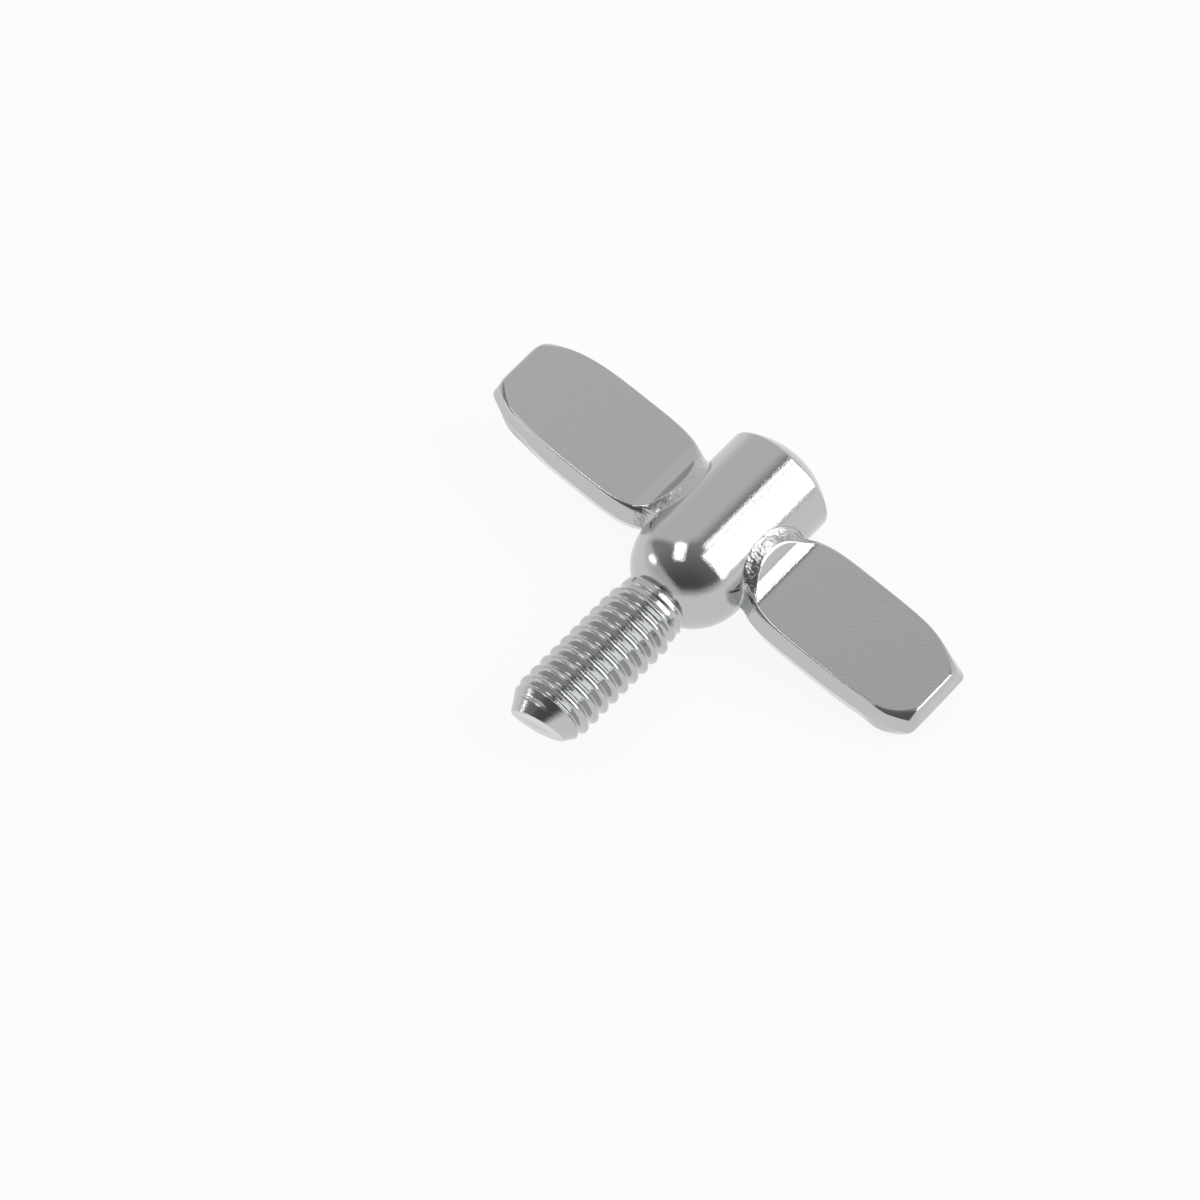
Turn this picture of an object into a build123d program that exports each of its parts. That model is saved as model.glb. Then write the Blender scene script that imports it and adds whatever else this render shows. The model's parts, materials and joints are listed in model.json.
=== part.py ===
from build123d import *
import math
import os

# Wing screw, forged in one piece: a barrel-shaped head with two wings, and a screw shank.
# Millimetres. X runs along the wings, Y along the screw's axis towards the head. The screw is
# shaped with its wings level, and then leans onto the tip of its right wing, as it lies on a
# table. The origin is on the axis, where the thread begins, and Z is up.

# Barrel: a round head, domed towards the shank and crowned at its free end
barrel_radius = 6.05
barrel_length = 12.7
crown_height = 2.4
rim_round = 0.15

# Shank: a plain neck under the dome, then the thread, 5/16 inch with 18 turns to the inch, left
# here at its outer diameter, and a tapered point whose end was sheared off at a slant
neck_diameter = 7.26
neck_length = 0.9
neck_lead = 0.32
thread_diameter = 7.9
thread_length = 15.3
point_length = 2.0
point_angle = 31.5
tip_slant_across = 7.5
tip_slant_up = 9.2
tip_dish_radius = 1.7
tip_dish_depth = 0.12

# Wings: two paddles with drafted walls that part at half their thickness. An outline has a blunt
# root, some way inside the barrel's side, is widest at a distance from the axis, and closes at a
# straight outer end.
wing_offset = 4.6
wing_half_thickness = 2.1
root_squareness = 4.0
root_bluntness = 2.7
parting = {"inside": 1.45, "widest": 13.5, "reach": 26.9, "half_width": 5.78, "end_half": 4.1, "roundness": 3.5}
wall_top = {"inside": 0.85, "widest": 14.2, "reach": 26.5, "half_width": 5.22, "end_half": 3.4, "roundness": 3.8}
face = {"inside": 0.48, "widest": 15.0, "reach": 26.25, "half_width": 5.13, "end_half": 2.6, "roundness": 4.5}

# Facet round each face, which is narrow along the sides and opens out at the outer corners
facet_depth = 1.0
facet_spread = 1.53
facet_end_spread = 0.7

# Ramp that climbs from each face of a wing to the barrel, and the oval boss round its root, whose
# height is a share of the barrel's
ramp_run = 2.03
ramp_radius = 2.2
ramp_slope = 50.0
boss_depth = 3.55
boss_reach = 4.2
boss_half_width = 8.2
boss_share = 0.8

# Worked out from the sizes above
thread_radius = thread_diameter / 2
neck_radius = neck_diameter / 2
dome_centre = neck_length + math.sqrt(barrel_radius**2 - neck_radius**2)
rim = dome_centre + barrel_length
head_end = rim + crown_height
crown_radius = (barrel_radius**2 + crown_height**2) / (2 * crown_height)
wing_line = dome_centre + wing_offset
tip = -thread_length - point_length
face_end = math.hypot(face["reach"], wing_half_thickness)
lean = math.degrees(math.asin(barrel_radius / face_end) - math.asin(wing_half_thickness / face_end))

# How finely an outline is followed, how far a cutting block reaches past what it cuts, and the
# turn that puts the body's seam underneath, clear of the wings and of the line that it rests on
stations = 6
spare = 2.0
seam_turn = 94.0


def on_circle(centre_y, radius, angle):
    """The point of a circle round the screw's axis that lies at an angle from the tip's direction."""
    turn = math.radians(angle)
    return (radius * math.sin(turn), centre_y - radius * math.cos(turn))


def turned_body():
    """Barrel, dome, neck, shank and point, turned from one profile, with the rim's edge broken."""
    neck_angle = math.degrees(math.asin(neck_radius / barrel_radius))
    crown_angle = 180 - math.degrees(math.asin(barrel_radius / crown_radius))
    crown_centre = head_end - crown_radius
    taper = math.tan(math.radians(point_angle))
    blank_end = tip - spare
    blank_radius = thread_radius - (point_length + spare) * taper
    profile = [
        Line((0, blank_end), (blank_radius, blank_end)),
        Line((blank_radius, blank_end), (thread_radius, -thread_length)),
        Line((thread_radius, -thread_length), (thread_radius, 0)),
        Line((thread_radius, 0), (neck_radius, neck_lead)),
        Line((neck_radius, neck_lead), (neck_radius, neck_length)),
        ThreePointArc(
            (neck_radius, neck_length),
            on_circle(dome_centre, barrel_radius, (neck_angle + 90) / 2),
            (barrel_radius, dome_centre),
        ),
        Line((barrel_radius, dome_centre), (barrel_radius, rim)),
        ThreePointArc(
            (barrel_radius, rim),
            on_circle(crown_centre, crown_radius, (crown_angle + 180) / 2),
            (0, head_end),
        ),
        Line((0, head_end), (0, blank_end)),
    ]
    body = Rot(0, seam_turn, 0) * revolve(make_face(profile), axis=Axis.Y)
    rim_edge = body.edges().filter_by(GeomType.CIRCLE).sort_by(lambda e: abs(e.center().Y - rim))[0]
    return fillet(rim_edge, rim_round)


def sheared_tip(body):
    """The slanted end of the point, with the shallow dish that the shear leaves in it."""
    cut = Pos(0, tip, 0) * Rot(-tip_slant_up, 0, tip_slant_across)
    block = cut * Pos(0, -barrel_radius, 0) * Box(*[2 * barrel_radius] * 3)
    dish_radius = (tip_dish_radius**2 + tip_dish_depth**2) / (2 * tip_dish_depth)
    dish = cut * Pos(0, tip_dish_depth - dish_radius, 0) * Sphere(dish_radius)
    return body - block - dish


def paddle_outline(height, size):
    """A flat face with a paddle's outline at one height, closed by a straight line at its end."""
    root, widest, reach = barrel_radius - size["inside"], size["widest"], size["reach"]
    belly, end_half = size["half_width"], size["end_half"]
    side = []
    for n in range(1, stations + 1):
        share = math.cos(math.pi / 2 * n / stations) ** (2 / root_squareness)
        x = widest - (widest - root) * share
        side.append((x, belly * (1 - share**root_squareness) ** (1 / root_bluntness)))
    for n in range(1, stations + 1):
        share = n / stations
        x = widest + (reach - widest) * share
        side.append((x, belly - (belly - end_half) * share ** size["roundness"]))
    upper = [Vector(x, wing_line + y, height) for x, y in side]
    lower = [Vector(x, wing_line - y, height) for x, y in side]
    wall = Spline(*lower[::-1], Vector(root, wing_line, height), *upper)
    return make_face([wall, Line(upper[-1], lower[-1])])


def half_paddle():
    """The upper half of a wing: a drafted wall, and a facet that trims it back to the face."""
    wide_face = {
        **face,
        "inside": face["inside"] + facet_spread,
        "reach": face["reach"] + facet_end_spread,
        "half_width": face["half_width"] + facet_spread,
        "end_half": face["end_half"] + facet_spread,
    }
    facet_foot = wing_half_thickness - facet_depth
    wall = loft([paddle_outline(0, parting), paddle_outline(wing_half_thickness, wall_top)], ruled=True)
    cone = loft([paddle_outline(facet_foot, wide_face), paddle_outline(wing_half_thickness, face)], ruled=True)
    length = parting["reach"] + spare
    slab = Box(length, 4 * parting["half_width"], facet_depth)
    trimmed_off = Pos(length / 2, wing_line, facet_foot + facet_depth / 2) * slab - cone
    return wall - trimmed_off


def root_ramp():
    """The concave ramp from a wing's face up to the barrel, trimmed to the face's outline."""
    slope = math.radians(ramp_slope)
    base = wing_half_thickness - facet_depth
    ramp_start = barrel_radius + ramp_run

    def on_arc(turn):
        return Vector(
            ramp_start - ramp_radius * math.sin(turn), 0, wing_half_thickness + ramp_radius * (1 - math.cos(turn))
        )

    toe, bend, knee = on_arc(0), on_arc(slope / 2), on_arc(slope)
    back = barrel_radius - face["inside"] - spare
    crest = Vector(back, 0, knee.Z + (knee.X - back) * math.tan(slope))
    profile = [
        ThreePointArc(toe, bend, knee),
        Line(knee, crest),
        Line(crest, (back, 0, base)),
        Line((back, 0, base), (ramp_start, 0, base)),
        Line((ramp_start, 0, base), toe),
    ]
    across = extrude(make_face(profile), amount=2 * face["half_width"], both=True)
    column = extrude(paddle_outline(base, face), amount=crest.Z - base)
    return Pos(0, wing_line, 0) * across & column


def wing():
    """One whole wing on the +X side, with the boss round its root."""
    upper = half_paddle() + root_ramp()
    boss_size = (boss_reach, boss_half_width, boss_share * barrel_radius)
    boss = Pos(barrel_radius - boss_depth, wing_line, 0) * scale(Sphere(1), by=boss_size)
    return upper + mirror(upper, about=Plane.XY) + boss


os.makedirs("parts", exist_ok=True)
right_wing = wing()
level_screw = sheared_tip(turned_body()) + right_wing + mirror(right_wing, about=Plane.YZ)
wing_screw = Rot(0, lean, 0) * level_screw
print("wing screw: volume", round(wing_screw.volume, 1), "mm3, leaning by", round(lean, 2), "degrees")
export_step(wing_screw, "parts/wing_screw.step")
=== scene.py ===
import json
import math
import bmesh
import bpy
import numpy as np
from mathutils import Matrix, Vector, noise


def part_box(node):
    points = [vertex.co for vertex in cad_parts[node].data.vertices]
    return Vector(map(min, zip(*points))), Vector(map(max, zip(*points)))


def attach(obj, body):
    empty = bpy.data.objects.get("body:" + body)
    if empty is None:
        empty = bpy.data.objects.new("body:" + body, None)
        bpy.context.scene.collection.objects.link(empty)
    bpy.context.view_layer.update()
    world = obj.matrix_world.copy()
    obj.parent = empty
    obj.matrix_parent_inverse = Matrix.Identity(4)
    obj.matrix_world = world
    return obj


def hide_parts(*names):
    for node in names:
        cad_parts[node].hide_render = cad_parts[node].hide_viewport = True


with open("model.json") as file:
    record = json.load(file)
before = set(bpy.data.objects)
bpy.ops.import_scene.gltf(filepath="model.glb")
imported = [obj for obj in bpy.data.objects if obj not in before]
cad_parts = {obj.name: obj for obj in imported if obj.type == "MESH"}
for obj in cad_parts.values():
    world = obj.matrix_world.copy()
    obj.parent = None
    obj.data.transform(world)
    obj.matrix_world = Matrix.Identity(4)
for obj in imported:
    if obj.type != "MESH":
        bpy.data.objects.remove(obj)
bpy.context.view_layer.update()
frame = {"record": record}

scene = bpy.context.scene
mm = 0.001

# The screw is shaped in mm with its wings level: x along the wings, y along its axis towards the
# head, z up, and 0 where the thread begins. At the end it leans onto its right wing's tip.
nodeLow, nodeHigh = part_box("wing_screw")
threadMount = frame["record"]["mounts"][0]["dims"]

barrel = {
    "radius": -nodeLow[2] / mm,
    "headEnd": nodeHigh[1] / mm,
    "crown": 2.4,            # height of the domed end
    "rimRound": 0.12,
    "length": 12.7,          # straight part
    "neckRadius": 3.1,       # groove between the dome and the first turn of the thread
    "neckRound": 0.1,        # where the dome meets it
    "around": 144,           # faces round the axis
    "domeRows": 26,          # the crown has as many
    "sideRows": 9,           # from the rim to the wings' patches
    "roundRows": 5,
}
barrel["rim"] = barrel["headEnd"] - barrel["crown"]
barrel["dome"] = barrel["rim"] - barrel["length"]

thread = {
    "radius": threadMount["r_mm"],
    "length": threadMount["length_mm"],
    "pitch": 25.4 / 18,      # 18 turns to the inch
    "root": 3.2,             # radius at the bottom
    "flankAngle": 30,        # degrees, as on every thread of this standard
    "crestHalf": 0.19,       # half the width of the crest, which is left round by the rolling
    "crestAt": -8.11,        # y of a crest on the right-hand side
    "crestAngle": -16.7,     # and where that is, in degrees round the axis
    "collarTop": 0.18,       # the first turn is a low collar right under the dome
    "collarRadius": 3.64,
    "collarLip": 0.17,       # how far the collar stands out of the filled root
    "collarDrop": 0.3,       # how far its edge falls away on the right
    "dropAngle": 12,         # degrees round the axis where it falls most
    "dropSpread": (10, 55),  # and over how many more degrees it comes back
    "collarEdge": (-0.03, 0.05),  # y over which it falls to the neck
    "crestBlend": 0.2,       # rounding of the crests, and of the roots
    "rootBlend": 0.16,
    "crestsFade": (-2.3, -0.9),   # y over which the crests lose height towards the head
    "rootsFill": (-2.6, -0.5),    # the roots are filled
    "crestsWiden": (-1.4, -0.3),  # and the crests grow wider
    "widening": 0.2,
    "pointAngle": 33.0,      # degrees from the axis to the point's side
    "pointEarly": 0.9,       # how much nearer the head the point begins on the right
    "pointBlend": 0.1,
    "end": -16.83,           # where the slanted cut meets the axis
    "slantAcross": 0.24,     # how far the cut rises for each mm to the right
    "slantUp": -0.22,        # and for each mm upwards
    "neckLow": 0.3,          # where the groove's own rows take over from the dome's
    "collarLow": -0.6,       # and the thread's from those
    "collarRows": 34,
    "dishRadius": 1.7,
    "dishDepth": 0.12,
    "dishFrom": 0.97,        # the dish's first ring, as a share of the end's edge
    "dishRings": 12,
}

wing = {
    "line": barrel["dome"] + 4.6,
    "half": 2.1,             # half the thickness
    # Outlines at the parting line, at the top of the drafted wall and at the face's edge. Each begins this
    # far inside the barrel and is widest at an x, where it has its half width. It reaches to an x, where
    # it has narrowed to its end's half width, and round is the power of that curve.
    "parting": {"inside": 1.45, "widest": 13.5, "reach": 26.9, "half": 5.78, "end": 4.1, "round": 3.5},
    "wallTop": {"inside": 0.85, "widest": 14.2, "reach": 26.5, "half": 5.22, "end": 3.4, "round": 3.8},
    "face": {"inside": 0.48, "widest": 15.0, "reach": 26.25, "half": 5.13, "end": 2.6, "round": 4.5},
    "facetSpread": 1.53,     # how far the facet runs out for each mm down
    "footCorner": (26.5, 3.6, 1.33),   # x, y and z of the facet's foot at the outer corner
    "footEnd": (26.59, 1.61),          # x and z of it in the middle of the wing's end
    "footPower": 8,                    # how late it turns from one to the other
    "footClear": (0.3, 0.04),          # how near it may come to the parting line and to the face
    "edgeRound": 0.06,
    "endRound": 0.17,        # the edge across the wing's end is more worn
    "footRound": 0.12,
    "lineRound": 0.12,       # where the trimmed flash leaves the parting line
    "roundShare": 0.4,       # no rounding takes more than this share of the sides that it joins
    "cornerFrom": 20.0,      # x where the facet begins to turn towards the end
    "wornFrom": 25.0,        # and where its edge grows more worn
    "rootCurve": (4, 2.7),   # powers of the curve that the outline follows from its widest place inwards
    "cornerGaps": (0.12, 0.2, 0.4, 0.6),   # where the outer corner begins to round, face to parting line
    "rampStart": 8.08,       # x where the face turns up towards the root
    "rampRadius": 2.2,
    "rampSlope": 50.0,
    "archTop": 5.57,         # x where the ramp's edge stands highest
    "archFoot": 7.7,         # and where it comes down to the wing's sides
    "archPower": 2.3,
    "flatFrom": 9.6,         # x where the face's rows are straight
    "bandRows": 14,
    "rampRows": 24,
    "faceRows": 40,
    "columns": 56,           # across a face
    "evenness": 0.35,        # at 1 they are evenly spaced, at less they stand closer towards the edges
    # The die was worn unevenly: by what share the ends come out narrower at these depths under the face.
    "depths": (0, 0.77, 2.1),
    "leftEnd": (0.04, 0.13, 0.12),
    "leftEndFrom": 17,
    "rightHeadEnd": (0.08, 0.08, 0.03),
    "rightHeadEndFrom": 21,
    "leftTipSide": (-0.06, -0.06, -0.06),   # and fuller just short of the corner towards the thread
    "rightTipSide": (-0.075, -0.11, -0.04),
    "fuller": (21, 27.3),
    "lumpHeight": 0.075,     # of the rough metal left round a root
    "lumpSize": 0.75,
    "smallLumps": (0.45, 2.3),   # the small lumps on the large: their share, and how many times smaller
    "creaseDepth": 0.05,     # where the root meets the barrel
    "sideColumns": 21,       # from a face's edge down to the parting line
    "patchHalf": 5.6,        # half the height of the patch of barrel round a wing's root
    "patchRings": 9,
    "ringPower": 1.3,        # rings lie closer towards the root
}

# the boss that carries a wing on the barrel, a rounded lump of metal
root = {
    "middle": 2.5,           # x of its middle
    "reach": 4.2,
    "along": 8.2,
    "height": 4.85,
    "bossFoot": 20.3,        # angle round the barrel where the wing's side takes over
    "top": 48.25,            # angle where it is highest
    "side": 5.05,            # half the wing's width at the parting line there
    "pull": 1.5,             # how stiffly the surface leaves the barrel, in mm
    "sidePull": 1.6,         # and how stiffly it runs into the wing's side
    "bandFoot": 0.8,         # the same for the band up to the ramp, as shares of its height
    "bandTop": 1.1,
}


def smoothStep(low, high, value):
    # from 0 at low to 1 at high
    t = np.clip((value - low) / (high - low), 0, 1)
    return t * t * (3 - 2 * t)


def softMin(a, b, blend):
    # the smaller of two, with a rounding where they cross
    h = np.clip(0.5 + 0.5 * (b - a) / blend, 0, 1)
    return b * (1 - h) + a * h - blend * h * (1 - h)


def bend(start, middle, end, steps, share=1.0):
    # a rounded corner as a row of points
    t = np.linspace(0, share, steps + 1)[:, None]
    return (1 - t) ** 2 * start + 2 * t * (1 - t) * middle + t**2 * end


def hermite(start, startPull, end, endPull, t):
    # a curve that leaves one point and reaches the other along the two pulls
    t = t[..., None]
    return (
        (2 * t**3 - 3 * t**2 + 1) * start + (t**3 - 2 * t**2 + t) * startPull
        + (3 * t**2 - 2 * t**3) * end + (t**3 - t**2) * endPull
    )


def pullBack(line, gap, over=4.0):
    # the same points along a line, but ending a gap short of it
    steps = np.linalg.norm(np.diff(line, axis=0), axis=1)
    along = np.concatenate([[0], np.cumsum(steps)])
    start = along[-1] - over
    wanted = np.where(along > start, start + (along - start) * (over - gap) / over, along)
    return np.stack([np.interp(wanted, along, line[:, i]) for i in range(3)], axis=-1)


def unit(v):
    return v / np.linalg.norm(v, axis=-1, keepdims=True)


class Skin:
    # gathers grids of points, which are welded into one mesh at the end

    def __init__(self):
        self.points = []
        self.lumps = []
        self.dents = []
        self.faces = []
        self.count = 0

    def grid(self, points, lump=None, dent=None, close=False):
        rows, columns = points.shape[:2]
        first = self.count
        self.points.append(points.reshape(-1, 3))
        self.lumps.append(np.zeros(rows * columns) if lump is None else lump.reshape(-1))
        self.dents.append(np.zeros(rows * columns) if dent is None else dent.reshape(-1))
        self.count += rows * columns
        index = first + np.arange(rows * columns).reshape(rows, columns)
        if close:
            index = np.hstack([index, index[:, :1]])
        quads = np.stack([index[:-1, :-1], index[1:, :-1], index[1:, 1:], index[:-1, 1:]], axis=-1)
        self.faces.append(quads.reshape(-1, 4))

    def four(self, points, lump=None, dent=None):
        # the same patch on both wings, above and below, with the unevenness of the die
        x = points[..., 0]
        depth = wing["half"] - points[..., 2]
        reach = wing["parting"]["reach"]
        low, high = wing["fuller"]
        bulge = np.sin(math.pi * np.clip((x - low) / (high - low), 0, 1)) ** 2
        for sx in (1, -1):
            for sz in (1, -1):
                copy = points * np.array([sx, 1, sz])
                fromLine = copy[..., 1] - wing["line"]
                if sx < 0:
                    end = smoothStep(wing["leftEndFrom"], reach, x)
                    shares = wing["leftEnd"], wing["leftTipSide"]
                else:
                    end = smoothStep(wing["rightHeadEndFrom"], reach, x) * (fromLine > 0)
                    shares = wing["rightHeadEnd"], wing["rightTipSide"]
                narrower = end * np.interp(depth, wing["depths"], shares[0])
                narrower += bulge * (fromLine < 0) * np.interp(depth, wing["depths"], shares[1])
                copy[..., 1] = wing["line"] + fromLine * (1 - narrower)
                self.grid(copy, lump, dent)


def barrelRadiusAt(y):
    below = np.clip(barrel["dome"] - y, 0, barrel["radius"] * 0.999)
    return np.sqrt(barrel["radius"] ** 2 - below**2)


def onBarrel(angle, y):
    r = barrelRadiusAt(y)
    return np.stack([r * np.cos(angle), y, r * np.sin(angle)], axis=-1)


def halfWidth(x, size):
    # half the width of one of a wing's outlines
    start = barrel["radius"] - size["inside"]
    share = np.clip((size["widest"] - x) / (size["widest"] - start), 0, 1)
    power, flatness = wing["rootCurve"]
    inner = size["half"] * (1 - share**power) ** (1 / flatness)
    out = np.clip((x - size["widest"]) / (size["reach"] - size["widest"]), 0, 1)
    return inner - (size["half"] - size["end"]) * out ** size["round"]


def topHeight(x):
    # of the face and of the ramp that rises from it
    slope = math.radians(wing["rampSlope"])
    knee = wing["rampStart"] - wing["rampRadius"] * math.sin(slope)
    kneeHeight = wing["half"] + wing["rampRadius"] * (1 - math.cos(slope))
    back = np.clip(wing["rampStart"] - x, 0, wing["rampStart"] - knee)
    arc = wing["half"] + wing["rampRadius"] - np.sqrt(wing["rampRadius"] ** 2 - back**2)
    return np.where(x < knee, kneeHeight + (knee - x) * math.tan(slope), arc)


def keyPoints(x):
    # the corners of a wing's section where its face's edge is at x: a point inside the edge, the edge,
    # the facet's foot and the parting line
    face, wall, parting, half = wing["face"], wing["wallTop"], wing["parting"], wing["half"]
    late = smoothStep(wing["cornerFrom"], face["reach"], x)
    edge = np.stack([x, halfWidth(x, face), topHeight(x)], axis=-1)
    worn = smoothStep(wing["wornFrom"], face["reach"], x)
    worn = wing["edgeRound"] + (wing["endRound"] - wing["edgeRound"]) * worn
    inner = edge - np.stack([worn * late, worn, 0 * x], axis=-1)
    xFoot = x + (wing["footCorner"][0] - face["reach"]) * late
    xPart = x + (parting["reach"] - face["reach"]) * late
    wide, narrow, level = halfWidth(xPart, parting), halfWidth(xFoot, wall), halfWidth(x, face)
    draft = (wide - narrow) / half
    spread = wing["facetSpread"]
    # where the facet's plane meets the drafted wall
    overLine, underFace = wing["footClear"]
    z = np.clip((spread * half + level - wide) / (spread - draft), overLine, half - underFace)
    foot = np.stack([xFoot, level + spread * (half - z), z], axis=-1)
    line = np.stack([xPart, wide, 0 * x], axis=-1)
    return inner, edge, foot, line


def section(inner, edge, foot, line):
    # 22 points down a wing's side, with its corners rounded
    down, fall = foot - edge, line - foot
    downLength, fallLength = np.linalg.norm(down), np.linalg.norm(fall)
    down, fall = down / downLength, fall / fallLength
    share = wing["roundShare"]
    a = min(np.abs(edge - inner).max(), share * downLength)
    b = min(wing["footRound"], share * downLength, share * fallLength)
    c = wing["lineRound"]
    edgeArc = bend(inner, edge, edge + a * down, 4)
    footArc = bend(foot - b * down, foot, foot + b * fall, 4)
    lineArc = bend(line - c * fall, line, (line - c * fall) * np.array([1, 1, -1]), 3, 0.5)
    facet = (edgeArc[-1] + footArc[0])[None] / 2
    t = np.linspace(0, 1, 9)[1:-1, None]
    wall = footArc[-1] * (1 - t) + lineArc[0] * t
    return np.vstack([edgeArc, facet, footArc, wall, lineArc])


def rootLine(angle):
    # how far the root reaches along the barrel from the wing's middle line, at an angle round the barrel:
    # a rounded boss, and below it the wing's own side
    def onBoss(a):
        across = (barrel["radius"] * np.cos(a) - root["middle"]) / root["reach"]
        up = barrel["radius"] * np.sin(a) / root["height"]
        return root["along"] * np.sqrt(np.clip(1 - across**2 - up**2, 0, 1))

    low = np.clip(1 - angle / math.radians(root["bossFoot"]), 0, 1)
    base = onBoss(math.radians(root["bossFoot"]))
    return np.where(low > 0, base + (root["side"] - base) * low**1.5, onBoss(angle))


def rootAngle(reach):
    # the angle round the barrel at which the root is this far from the wing's middle line
    low = np.full_like(reach, math.radians(10))
    high = np.full_like(reach, math.radians(root["top"]))
    for _ in range(40):    # halving
        mid = (low + high) / 2
        inside = rootLine(mid) > reach
        low, high = np.where(inside, mid, low), np.where(inside, high, mid)
    return (low + high) / 2


def buildWings(skin):
    centre = np.array([0, wing["line"], 0])
    n, m = wing["columns"], wing["sideColumns"]
    rows = wing["bandRows"]
    u = np.linspace(-1, 1, n + 1)
    f = wing["evenness"] * u + (1 - wing["evenness"]) * np.sin(u * math.pi / 2)
    flatFrom = wing["flatFrom"]
    xEdge = np.concatenate([
        np.linspace(wing["archFoot"], flatFrom, wing["rampRows"] + 1),
        np.linspace(flatFrom, wing["face"]["reach"], wing["faceRows"] + 1)[1:],
    ])

    # side: a section at each step along the face's edge, then round the outer corner
    keys = [np.array(k) for k in keyPoints(xEdge)]
    faceCorner = np.array([wing["face"]["reach"], wing["face"]["end"], wing["half"]])
    corner = [
        faceCorner - wing["endRound"] * np.array([1, 1, 0]),
        faceCorner,
        np.array(wing["footCorner"]),
        np.array([wing["parting"]["reach"], wing["parting"]["end"], 0.0]),
    ]
    arcs = []
    for i, (point, gap) in enumerate(zip(corner, wing["cornerGaps"])):
        keys[i][-1] = point
        keys[i] = pullBack(keys[i], gap)
        arcs.append(bend(keys[i][-1], point, point - gap * np.array([0, 1.0, 0]), 6))
    side = np.array([section(*[k[i] for k in keys]) for i in range(len(xEdge))])
    cornerStrip = np.array([section(*[a[i] for a in arcs]) for i in range(7)])

    # end: the same section across the wing's outer end
    half = [a[-1][1] for a in arcs]
    ends = []
    for v in f[::-1]:
        nearCorner = abs(v) ** wing["footPower"]
        footHeight = wing["footEnd"][1] + (corner[2][2] - wing["footEnd"][1]) * nearCorner
        footX = wing["footEnd"][0] + (corner[2][0] - wing["footEnd"][0]) * nearCorner
        ends.append(section(
            np.array([corner[0][0], v * half[0], wing["half"]]),
            np.array([corner[1][0], v * half[1], wing["half"]]),
            np.array([footX, v * half[2], footHeight]),
            np.array([corner[3][0], v * half[3], 0.0]),
        ))
    ends = np.array(ends)

    # root: each point of the first section runs on to the barrel
    start = side[0]
    angle = np.arcsin(np.clip(start[:, 2] / barrel["radius"], 0, 1))
    reach = rootLine(angle)
    onRoot = onBarrel(angle, wing["line"] + reach) - centre
    t = np.linspace(0, 1, rows + 1)
    along = unit(side[1] - side[0])
    # the side leaves the barrel along it, and near the face a little down round it too
    sidePull = np.array([0, -1.0, 0]) * root["pull"]
    topPull = onBarrel(angle - 0.05, wing["line"] + reach * 0.97) - centre - onRoot
    mix = start[:, 2:3] / wing["half"]
    startPull = (1 - mix) * sidePull + mix * unit(topPull) * root["pull"]
    rootSide = np.array([
        hermite(onRoot[k], startPull[k], start[k], along[k] * root["sidePull"], t) for k in range(m + 1)
    ]).transpose(1, 0, 2)
    flipY = np.array([1, -1, 1])
    onTipRoot = onBarrel(angle, wing["line"] - reach) - centre
    tipSide = rootSide * flipY + (1 - t)[:, None, None] * (onTipRoot - onRoot * flipY)

    # band: from the barrel up to the ramp's edge
    top = np.abs(f)
    archX = wing["archTop"] + (wing["archFoot"] - wing["archTop"]) * top ** wing["archPower"]
    arch = np.stack([archX, f * start[0][1], topHeight(archX)], axis=-1)
    arch[0] = start[0] * np.array([1, -1, 1])
    arch[-1] = start[0]
    bandReach = f * reach[0]
    bandAngle = rootAngle(np.abs(bandReach))
    foot = onBarrel(bandAngle, wing["line"] + bandReach) - centre
    foot[0] = onTipRoot[0]
    foot[-1] = onRoot[0]
    band = []
    for k in range(n + 1):
        w = top[k] ** 3    # the band turns into the sides at its two ends
        chord = np.linalg.norm(arch[k] - foot[k])
        middle = unit(np.array([math.sin(bandAngle[k]), 0, -math.cos(bandAngle[k])]))
        middle = middle * chord * root["bandFoot"]
        # it reaches the ramp's edge on its way out, fanned a little and falling
        flat = unit(np.array([1.0, 0.12 * f[k], -0.1])) * chord * root["bandTop"]
        sign = np.array([1, 1 if f[k] > 0 else -1, 1])
        band.append(hermite(
            foot[k], (1 - w) * middle + w * startPull[0] * sign,
            arch[k], (1 - w) * flat + w * along[0] * root["sidePull"] * sign, t))
    band = np.array(band).transpose(1, 0, 2)

    # face: straight rows across, which fan out from the ramp's edge
    inner = np.vstack([keys[0], arcs[0][1:]])
    face = np.zeros((len(inner), n + 1, 3))
    for i, row in enumerate(inner):
        share = np.clip((row[0] - wing["archFoot"]) / (flatFrom - wing["archFoot"]), 0, 1)
        x = archX + (flatFrom - archX) * share if share < 1 else np.full(n + 1, row[0])
        face[i] = np.stack([x, f * row[1], topHeight(x)], axis=-1)
    face[0] = arch

    # roughest half way from the barrel to the wing, with the crease on the first row
    across = np.sin(math.pi * np.linspace(0, 1, rows + 1))[:, None] ** 0.6
    rootRow = np.zeros((rows + 1, 1))
    rootRow[0] = 1
    skin.four(band + centre, across * (1 - top[None] ** 6), rootRow + 0 * top[None])
    down = np.linspace(0, 1, m + 1)[None]
    for patch in (rootSide, tipSide):
        skin.four(patch + centre, across * np.sin(down * math.pi / 2), rootRow + 0 * down)
    for patch in (face, ends):
        skin.four(patch + centre)
    for patch in (side, cornerStrip):
        skin.four(patch + centre)
        skin.four(patch * flipY + centre)

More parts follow.
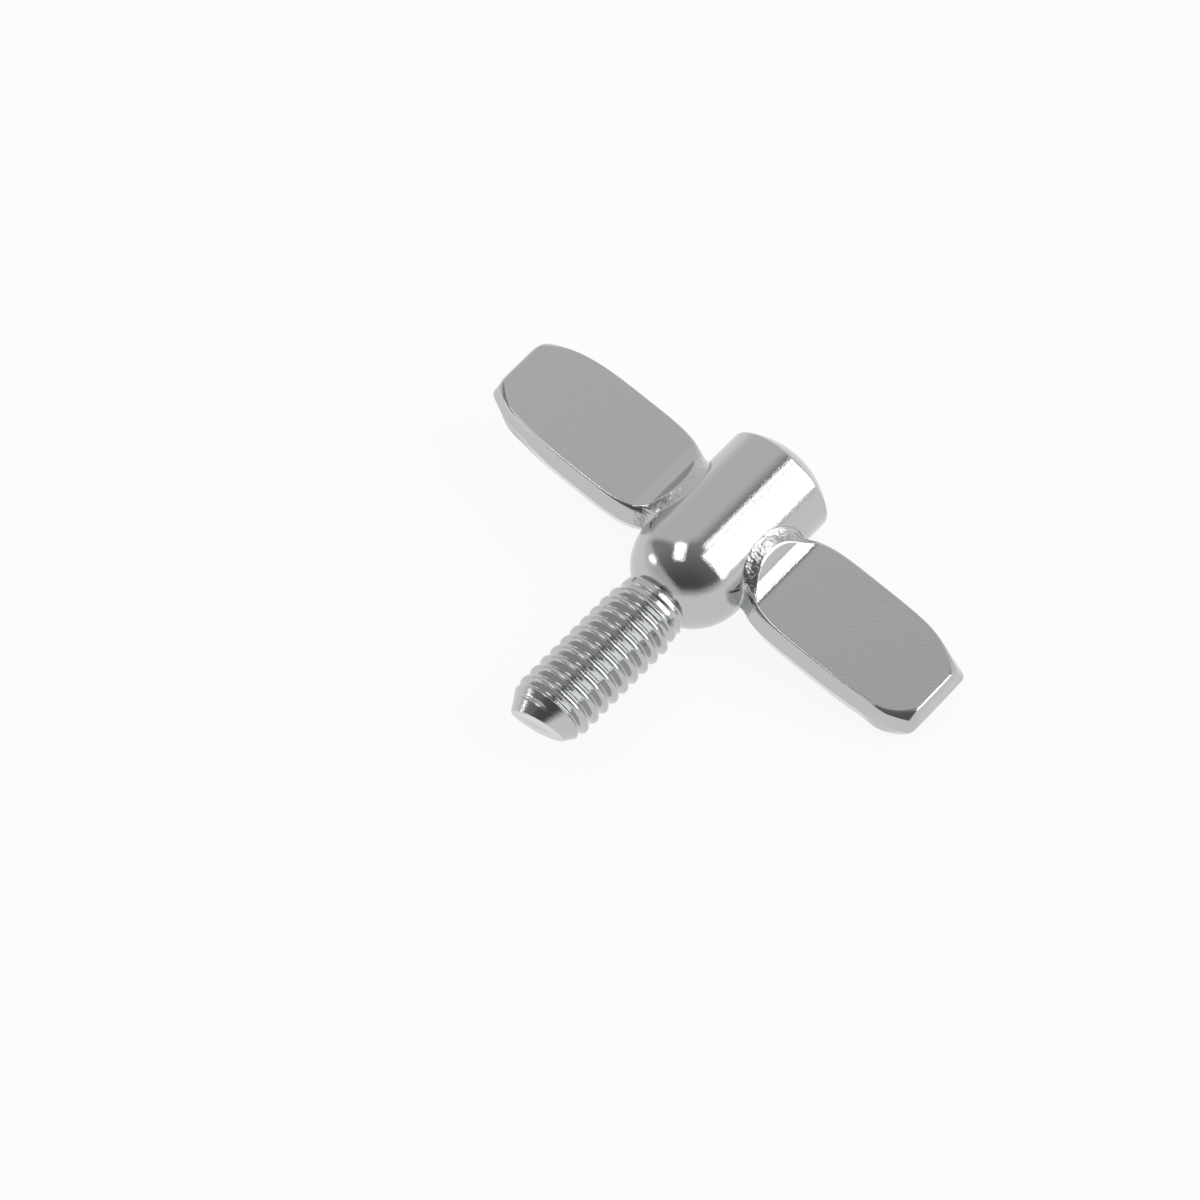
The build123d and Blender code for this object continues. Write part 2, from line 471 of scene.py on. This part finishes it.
    # barrel round the root: rings from the root's line out to a rectangle of the barrel's own grid
    line = np.vstack([tipSide[0][::-1][:-1], band[0], rootSide[0][1:]])
    lineAngle = np.arctan2(line[:, 2], line[:, 0])
    lineY = line[:, 1]
    step = 2 * math.pi / barrel["around"]
    box = wing["patchHalf"]
    outAngle = np.concatenate([np.arange(m) * step, np.full(n + 1, m * step), np.arange(m)[::-1] * step])
    outY = np.concatenate([np.full(m, -box), np.linspace(-box, box, n + 1), np.full(m, box)])
    t = np.linspace(0, 1, wing["patchRings"])[:, None] ** wing["ringPower"]
    ringAngle = lineAngle * (1 - t) + outAngle * t
    ringY = lineY * (1 - t) + outY * t
    skin.four(onBarrel(ringAngle, wing["line"] + ringY), None, (t == 0) + 0 * ringY)


def buildBarrel(skin):
    b = barrel
    crownRadius = (b["radius"] ** 2 + b["crown"] ** 2) / (2 * b["crown"])
    crownCentre = b["headEnd"] - crownRadius
    edgeAngle = math.asin(b["radius"] / crownRadius)
    a = np.linspace(0, edgeAngle - b["rimRound"] / crownRadius, b["domeRows"])
    crown = np.stack([crownRadius * np.sin(a), crownCentre + crownRadius * np.cos(a)], axis=-1)
    corner = np.array([b["radius"], b["rim"]])
    rim = bend(crown[-1], corner, corner - np.array([0, b["rimRound"]]), b["roundRows"])[1:]
    box = wing["patchHalf"]
    y = np.concatenate([
        np.linspace(rim[-1][1], wing["line"] + box, b["sideRows"])[1:],
        np.linspace(wing["line"] + box, wing["line"] - box, wing["columns"] + 1)[1:],
    ])
    straight = np.stack([barrelRadiusAt(y), y], axis=-1)
    firstAngle = math.asin((b["dome"] - y[-1]) / b["radius"])
    lastAngle = math.acos(b["neckRadius"] / b["radius"])
    a = np.linspace(firstAngle, lastAngle - 0.03, b["domeRows"])[1:]    # stops short, for the fillet
    dome = np.stack([b["radius"] * np.cos(a), b["dome"] - b["radius"] * np.sin(a)], axis=-1)
    neckTop = b["dome"] - b["radius"] * math.sin(lastAngle)
    neckEdge = np.array([b["neckRadius"], neckTop])
    fillet = bend(dome[-1], neckEdge, neckEdge - np.array([0, b["neckRound"]]), b["roundRows"])[1:]
    neck = np.array([[b["neckRadius"], y] for y in np.linspace(fillet[-1][1], thread["neckLow"], 4)[1:]])
    profile = np.vstack([crown, rim, straight, dome, fillet, neck])
    angle = np.arange(b["around"]) * 2 * math.pi / b["around"]
    radius, height = profile[:, :1], np.repeat(profile[:, 1:], len(angle), axis=1)
    rows = np.stack([radius * np.cos(angle), height, radius * np.sin(angle)], axis=-1)
    # the rows beside the wings leave a gap that the wings' own patches fill
    first = len(crown) + len(rim) + b["sideRows"] - 2
    last = first + wing["columns"]
    m, half = wing["sideColumns"], b["around"] // 2
    skin.grid(rows[: first + 1], close=True)
    skin.grid(rows[first : last + 1, m : half - m + 1])
    skin.grid(rows[first : last + 1, half + m : b["around"] - m + 1])
    skin.grid(rows[last:], close=True)


def threadRadius(angle, y):
    # of the thread, of its low first turn and of the neck, at an angle round the axis
    s = thread
    crest = s["crestAt"] - s["pitch"] * (angle - math.radians(s["crestAngle"])) / (2 * math.pi)
    phase = (y - crest) / s["pitch"]
    away = np.abs(phase - np.round(phase)) * s["pitch"]
    # towards the head the crests lose height and the roots are filled
    top = s["radius"] - (s["radius"] - s["collarRadius"]) * smoothStep(*s["crestsFade"], y)
    filled = s["collarRadius"] - s["collarLip"]
    bottom = s["root"] + (filled - s["root"]) * smoothStep(*s["rootsFill"], y)
    half = s["crestHalf"] + s["widening"] * smoothStep(*s["crestsWiden"], y)
    flank = top + (half - away) / math.tan(math.radians(s["flankAngle"]))
    radius = softMin(flank, top, s["crestBlend"])
    radius = -softMin(-radius, -bottom, s["rootBlend"])
    # groove over the collar, wider on the right
    turned = np.abs((angle - math.radians(s["dropAngle"]) + math.pi) % (2 * math.pi) - math.pi)
    near, far = [math.radians(degrees) for degrees in s["dropSpread"]]
    collarTop = s["collarTop"] - s["collarDrop"] * (1 - smoothStep(near, far, turned))
    neck = barrel["neckRadius"]
    return radius + (neck - radius) * smoothStep(*s["collarEdge"], y - collarTop)


def buildThread(skin):
    s = thread
    around = barrel["around"]
    p = s["pitch"]
    # Rows follow the helix, and lie closer where the profile bends. These are their places on one side
    # of a crest, in turns.
    half = np.array([0.06, 0.1, 0.135, 0.17, 0.21, 0.27, 0.33, 0.38, 0.42, 0.46])
    offsets = np.concatenate([[-0.5], -half[::-1], [0], half]) * p
    angle = np.arange(around + 1) * 2 * math.pi / around
    collarY = np.linspace(s["neckLow"], s["collarLow"], s["collarRows"])
    collar = threadRadius(angle[None], collarY[:, None])
    collarRows = [collar * np.cos(angle), 0 * collar + collarY[:, None], collar * np.sin(angle)]
    skin.grid(np.stack(collarRows, axis=-1))
    crest = s["crestAt"] - p * (angle - math.radians(s["crestAngle"])) / (2 * math.pi)
    top = math.ceil((s["collarLow"] - s["crestAt"]) / p) + 2
    rowsY = np.concatenate([crest[None] + (top - k) * p - offsets[:, None] for k in range(top + 9)])
    tipTan = math.tan(math.radians(s["pointAngle"]))

    def coneRadius(y, a):
        begins = -s["length"] + s["pointEarly"] * np.clip(np.cos(a), 0, 1)
        return s["radius"] - (begins - y) * tipTan

    def cutHeight(a):
        y = np.full_like(a, s["end"])
        for _ in range(30):    # settles where the cut meets the cone
            r = coneRadius(y, a)
            y = s["end"] + s["slantAcross"] * r * np.cos(a) + s["slantUp"] * r * np.sin(a)
        return y

    lowest = cutHeight(angle)
    y = np.clip(rowsY, lowest[None], s["collarLow"])
    radius = threadRadius(angle[None] + 0 * y, y)
    cone = coneRadius(y, angle[None])
    radius = softMin(radius, cone, s["pointBlend"])
    radius = np.where(y <= lowest[None] + 1e-6, cone, radius)
    skin.grid(np.stack([radius * np.cos(angle), y, radius * np.sin(angle)], axis=-1))

    # slanted end with a shallow dish
    rim = coneRadius(lowest, angle)
    ring = np.stack([rim * np.cos(angle), lowest, rim * np.sin(angle)], axis=-1)
    middle = np.array([0, s["end"], 0])
    scale = np.concatenate([[1], np.linspace(s["dishFrom"], 0, s["dishRings"])])[:, None, None]
    cap = middle + (ring - middle) * scale
    fromAxis = np.hypot(cap[..., 0], cap[..., 2])
    cap[..., 1] += s["dishDepth"] * np.clip(1 - (fromAxis / s["dishRadius"]) ** 2, 0, 1)
    skin.grid(cap)


def makeScrew():
    skin = Skin()
    buildBarrel(skin)
    buildWings(skin)
    buildThread(skin)
    points = np.vstack(skin.points)
    faces = np.vstack(skin.faces)
    mesh = bpy.data.meshes.new("wingScrew")
    mesh.from_pydata(points.tolist(), [], faces.tolist())
    bm = bmesh.new()
    bm.from_mesh(mesh)
    lumpy = bm.verts.layers.float.new("lumpy")
    dented = bm.verts.layers.float.new("dented")
    for vert, lump, dent in zip(bm.verts, np.concatenate(skin.lumps), np.concatenate(skin.dents)):
        vert[lumpy] = lump
        vert[dented] = dent
    # weld the grids where their edges meet
    bmesh.ops.remove_doubles(bm, verts=bm.verts, dist=0.0008)
    bmesh.ops.dissolve_degenerate(bm, edges=bm.edges, dist=0.0005)
    bmesh.ops.recalc_face_normals(bm, faces=bm.faces)
    openEdges = sum(1 for e in bm.edges if len(e.link_faces) != 2)
    bm.normal_update()
    rough = [vert for vert in bm.verts if vert[lumpy] > 0 or vert[dented] > 0]
    share, times = wing["smallLumps"]
    moves = []
    for vert in rough:
        spot = vert.co / wing["lumpSize"]
        height = noise.noise(spot) + share * noise.noise(spot * times)
        crease = vert[dented] * wing["creaseDepth"] * (1 + height)
        moves.append(vert.normal * (height * vert[lumpy] * wing["lumpHeight"] - crease))
    for vert, move in zip(rough, moves):
        vert.co += move
    for face in bm.faces:
        face.smooth = True
    # the lean at which the right wing's tip touches the floor with the barrel
    lean = math.asin(barrel["radius"] / math.hypot(wing["face"]["reach"], wing["half"]))
    lean -= math.atan2(wing["half"], wing["face"]["reach"])
    turn = Matrix.Rotation(lean, 4, "Y")
    bm.transform(Matrix.Scale(mm, 4) @ turn)
    bm.to_mesh(mesh)
    bm.free()
    piece = bpy.data.objects.new("wingScrew", mesh)
    scene.collection.objects.link(piece)
    even = piece.modifiers.new("evenShading", "WEIGHTED_NORMAL")
    even.weight = 100
    leaning = round(math.degrees(lean), 2)
    print("screw:", len(mesh.polygons), "faces,", openEdges, "open edges, leaning", leaning, "degrees")
    return piece, turn


def linear(hexColour):
    parts = [int(hexColour[i : i + 2], 16) / 255 for i in (1, 3, 5)]
    return [c / 12.92 if c <= 0.04045 else ((c + 0.055) / 1.055) ** 2.4 for c in parts] + [1.0]


def addNode(tree, kind, settings={}, values={}, links={}):
    node = tree.nodes.new("ShaderNode" + kind)
    for name, value in settings.items():
        setattr(node, name, value)
    for name, value in values.items():
        node.inputs[name].default_value = value
    for name, source in links.items():
        tree.links.new(source, node.inputs[name])
    return node


def newMaterial(name):
    material = bpy.data.materials.new(name)
    material.use_nodes = True
    material.node_tree.nodes.clear()
    return material, material.node_tree


chrome = {
    "bright": "#C1C3C2",     # on top of a mark
    "dull": "#B8BABA",       # and in its bottom
    "roughness": 0.06,       # polished plating
    "grain": 0.15,           # mm across one mark of the blasting under the plating
    "grainSlope": 4.0,       # degrees that a grain tips the surface
    "ripple": 2.6,           # mm between the shallow ripples of the forging
    "rippleSlope": 0.05,     # degrees
    "scale": 0.32,           # mm across a flake of the rough scale left round the wings' roots
    "scaleSlope": 22.0,      # degrees
}


def makeChrome():
    # Chromium plated on forged steel that was blasted clean: a mirror that keeps the fine grain of
    # the steel, so bright reflections end in specks and not in a clean line. The shot leaves marks of
    # about 0.1 mm, and they are drawn half as wide again, so that they show at this size.
    material, tree = newMaterial("chromePlatedForgedSteel")
    where = addNode(tree, "TexCoord").outputs["Object"]
    grain = addNode(tree, "TexNoise", {}, {
        "Scale": 1 / (chrome["grain"] * mm), "Detail": 1.5}, {"Vector": where})
    ripple = addNode(tree, "TexNoise", {}, {
        "Scale": 1 / (chrome["ripple"] * mm), "Detail": 2.0}, {"Vector": where})
    grainHeight = chrome["grain"] * mm * math.tan(math.radians(chrome["grainSlope"]))
    rippleHeight = chrome["ripple"] * mm * math.tan(math.radians(chrome["rippleSlope"]))
    shallow = addNode(tree, "Bump", {}, {"Strength": 1.0, "Distance": rippleHeight}, {
        "Height": ripple.outputs["Fac"]})
    fine = addNode(tree, "Bump", {}, {"Strength": 1.0, "Distance": grainHeight}, {
        "Height": grain.outputs["Fac"], "Normal": shallow.outputs["Normal"]})
    # scale of the forge, left only where the wings' roots could not be trimmed
    scale = addNode(tree, "TexNoise", {}, {
        "Scale": 1 / (chrome["scale"] * mm), "Detail": 3.0}, {"Vector": where})
    lumps = addNode(tree, "Attribute", {"attribute_name": "lumpy"})
    left = addNode(tree, "Math", {"operation": "MULTIPLY"}, {}, {
        0: scale.outputs["Fac"], 1: lumps.outputs["Fac"]})
    scaleHeight = chrome["scale"] * mm * math.tan(math.radians(chrome["scaleSlope"]))
    rough = addNode(tree, "Bump", {}, {"Strength": 1.0, "Distance": scaleHeight}, {
        "Height": left.outputs["Value"], "Normal": fine.outputs["Normal"]})
    colour = addNode(tree, "MixRGB", {}, {
        "Color1": linear(chrome["dull"]), "Color2": linear(chrome["bright"])}, {"Fac": grain.outputs["Fac"]})
    shader = addNode(tree, "BsdfPrincipled", {}, {"Metallic": 1.0, "Roughness": chrome["roughness"]}, {
        "Base Color": colour.outputs["Color"], "Normal": rough.outputs["Normal"]})
    addNode(tree, "OutputMaterial", {}, {}, {"Surface": shader.outputs["BSDF"]})
    print("chrome:", len(tree.nodes), "nodes")
    return material


view = {
    "towards": (0.2675, -0.365, 0.892),   # from the dome to the camera, while the wings are level
    "right": (0.752, 0.658, 0.044),       # the view's right
    "distance": 520.0,
    "domeRight": 8.904,                   # how far the dome's centre stands from the view's middle
    "domeUp": 3.227,
    "lens": 162.9,
}


def makeCamera(turn):
    back = Vector(view["towards"]).normalized()
    right = Vector(view["right"])
    right = (right - back * right.dot(back)).normalized()
    up = back.cross(right)
    dome = Vector((0, barrel["dome"], 0))
    place = dome + back * view["distance"]
    # turn the camera a little, so that the dome stands off the middle
    aim = dome - right * view["domeRight"] - up * view["domeUp"]
    back = (place - aim).normalized()
    right = (right - back * right.dot(back)).normalized()
    up = back.cross(right)
    axes = Matrix((right, up, back)).transposed().to_4x4()
    data = bpy.data.cameras.new("camera")
    data.lens = view["lens"]
    data.sensor_width = 36
    data.clip_start = 0.01
    data.clip_end = 20
    camera = bpy.data.objects.new("camera", data)
    camera.matrix_world = turn @ Matrix.Translation(place * mm) @ axes
    scene.collection.objects.link(camera)
    scene.camera = camera
    print("camera:", view["lens"], "mm lens")


studio = {
    "floorColour": "#F6F6F6",
    "floorHalf": 3.0,        # half its width, in metres
    "floorRoughness": 0.9,
    "floorGlow": 0.9,        # how much of the floor is plain white to the camera and to the chrome
    # Softboxes: a corner, two sides in metres and how bright. The window is a tall one on the right, with
    # a strip beside it that leaves a thin dark gap. The top one makes the spot on the dome.
    "softboxes": {
        "windowSoftbox": ((0.54, 0.06, 1.2), (0, 0.66, 0), (0, 0, -1.11), 2.1),
        "windowEdge": ((0.505, 0.41, 1.2), (0, 0.4, 0), (-0.236, 0, 0), 1.9),
        "topSoftbox": ((-0.55, -0.10, 1.05), (0.36, 0.17, 0), (0.265, -0.56, 0), 2.3),
        "smallLamp": ((-0.495, -0.479, 0.326), (-0.151, 0.137, -0.114), (0.011, -0.057, -0.082), 2.3),
    },
}


def addPanel(name, corner, along, down, brightness):
    # a flat softbox, given by one corner and its two sides
    corner = Vector(corner)
    along = Vector(along)
    down = Vector(down)
    middle = corner + along / 2 + down / 2
    lamp = bpy.data.lights.new(name, "AREA")
    lamp.shape = "RECTANGLE"
    lamp.size = along.length
    lamp.size_y = down.length
    lamp.energy = brightness * math.pi * along.length * down.length
    x, y = along.normalized(), down.normalized()
    z = x.cross(y)
    if z.dot(middle) < 0:      # a lamp shines down its own -z
        x, z = -x, -z
    panel = bpy.data.objects.new(name, lamp)
    panel.matrix_world = Matrix.Translation(middle) @ Matrix((x, y, z)).transposed().to_4x4()
    scene.collection.objects.link(panel)


def makeLights():
    for name, (corner, along, down, brightness) in studio["softboxes"].items():
        addPanel(name, corner, along, down, brightness)
    print("lights:", ", ".join(studio["softboxes"]))


# The room that the chrome mirrors: a dark one with a pale wall on the left, a heap of low pale things
# on the table towards the tip, and the lit foot of the window's side.
room = {
    "directions": {"slant": (1.0, -0.6, 0.1), "away": (0.5, -0.85, 0.1)},
    "heapMiddle": (-0.5, -0.866, 0.0),
    "heapStretch": (1.18, 1.18, 2.1),
    "haze": 0.85,                # low down all round, so the floor's far edge has no line to it
    # Each ramp runs along a direction of looking, from one place to another, where 1 is straight along it,
    # and goes from one level to the other.
    "ramps": {
        "wallFromTip": ("y", (-0.2, -0.07), (0, 1), "SMOOTHSTEP"),
        "wallFromRight": ("slant", (-0.01, -0.2), (0, 1), "LINEAR"),
        "wallLevel": ("slant", (-0.2, -0.32), (0.65, 0.77), "SMOOTHSTEP"),
        "heap": ("fromHeap", (1.1, 0.92), (0, 1), "SMOOTHSTEP"),
        "darkLevel": ("away", (0.0, 0.9), (0.33, 0.11), "LINEAR"),
        "footHeight": ("z", (0.24, 0.0), (0, 1), "SMOOTHSTEP"),
        "footFromLeft": ("x", (-0.1, 0.4), (0, 1), "SMOOTHSTEP"),
        "footLevel": ("y", (-0.34, 0.5), (0.12, 1.4), "LINEAR"),
        "hazeHeight": ("z", (0.34, -0.04), (0, 1), "SMOOTHSTEP"),
    },
}


def makeWorld():
    world = bpy.data.worlds.new("studioWalls")
    world.use_nodes = True
    tree = world.node_tree
    tree.nodes.clear()
    where = addNode(tree, "TexCoord").outputs["Generated"]
    axes = addNode(tree, "SeparateXYZ", {}, {}, {"Vector": where}).outputs
    ways = {"x": axes["X"], "y": axes["Y"], "z": axes["Z"]}
    for name, direction in room["directions"].items():
        dot = addNode(tree, "VectorMath", {"operation": "DOT_PRODUCT"}, {1: direction}, {0: where})
        ways[name] = dot.outputs["Value"]
    offset = addNode(tree, "VectorMath", {"operation": "SUBTRACT"}, {1: room["heapMiddle"]}, {0: where})
    stretched = addNode(tree, "VectorMath", {"operation": "MULTIPLY"}, {1: room["heapStretch"]}, {
        0: offset.outputs["Vector"]})
    far = addNode(tree, "VectorMath", {"operation": "LENGTH"}, {}, {0: stretched.outputs["Vector"]})
    ways["fromHeap"] = far.outputs["Value"]

    ramps = {}
    for name, (way, (start, end), (low, high), kind) in room["ramps"].items():
        ramp = addNode(tree, "MapRange", {"interpolation_type": kind}, {
            "From Min": start, "From Max": end, "To Min": low, "To Max": high}, {"Value": ways[way]})
        ramps[name] = ramp.outputs["Result"]

    wall = addNode(tree, "Math", {"operation": "MULTIPLY"}, {}, {
        0: ramps["wallFromTip"], 1: ramps["wallFromRight"]})
    pale = addNode(tree, "Math", {"operation": "MAXIMUM"}, {}, {0: wall.outputs["Value"], 1: ramps["heap"]})
    foot = addNode(tree, "Math", {"operation": "MULTIPLY"}, {}, {
        0: ramps["footHeight"], 1: ramps["footFromLeft"]})
    level = ramps["darkLevel"]
    for share, brightness in ((pale, "wallLevel"), (foot, "footLevel")):
        mixed = addNode(tree, "Mix", {}, {}, {
            "Factor": share.outputs["Value"], "A": level, "B": ramps[brightness]})
        level = mixed.outputs["Result"]
    mixed = addNode(tree, "Mix", {}, {"B": room["haze"]}, {"Factor": ramps["hazeHeight"], "A": level})
    shade = addNode(tree, "Background", {}, {"Color": (1, 1, 1, 1)}, {"Strength": mixed.outputs["Result"]})
    addNode(tree, "OutputWorld", {}, {}, {"Surface": shade.outputs["Background"]})
    scene.world = world
    print("world:", len(tree.nodes), "nodes")


def makeFloor():
    half = studio["floorHalf"]
    corners = [(-half, -half), (half, -half), (half, half), (-half, half)]
    mesh = bpy.data.meshes.new("floor")
    mesh.from_pydata([(x, y, nodeLow[2]) for x, y in corners], [], [(0, 1, 2, 3)])
    floor = bpy.data.objects.new("floor", mesh)
    scene.collection.objects.link(floor)
    material, tree = newMaterial("whitePaper")
    # uncoated paper: flat white, with no gloss
    shader = addNode(tree, "BsdfPrincipled", {}, {
        "Base Color": linear(studio["floorColour"]), "Roughness": studio["floorRoughness"]})
    white = addNode(tree, "Emission", {}, {"Color": (1, 1, 1, 1), "Strength": 1.0})
    path = addNode(tree, "LightPath")
    seen = addNode(tree, "Math", {"operation": "ADD"}, {}, {
        0: path.outputs["Is Camera Ray"], 1: path.outputs["Is Glossy Ray"]})
    seen = addNode(tree, "Math", {"operation": "ADD", "use_clamp": True}, {}, {
        0: seen.outputs["Value"], 1: path.outputs["Is Transmission Ray"]})
    share = addNode(tree, "Math", {"operation": "MULTIPLY"}, {1: studio["floorGlow"]}, {
        0: seen.outputs["Value"]})
    mixed = addNode(tree, "MixShader", {}, {}, {
        0: share.outputs["Value"], 1: shader.outputs["BSDF"], 2: white.outputs["Emission"]})
    addNode(tree, "OutputMaterial", {}, {}, {"Surface": mixed.outputs["Shader"]})
    mesh.materials.append(material)
    print("floor:", 2 * half, "m across")


screw, turn = makeScrew()
screw.data.materials.append(makeChrome())
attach(screw, "root")
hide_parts("wing_screw")
makeCamera(turn)
makeFloor()
makeLights()
makeWorld()

scene.view_settings.view_transform = "Standard"
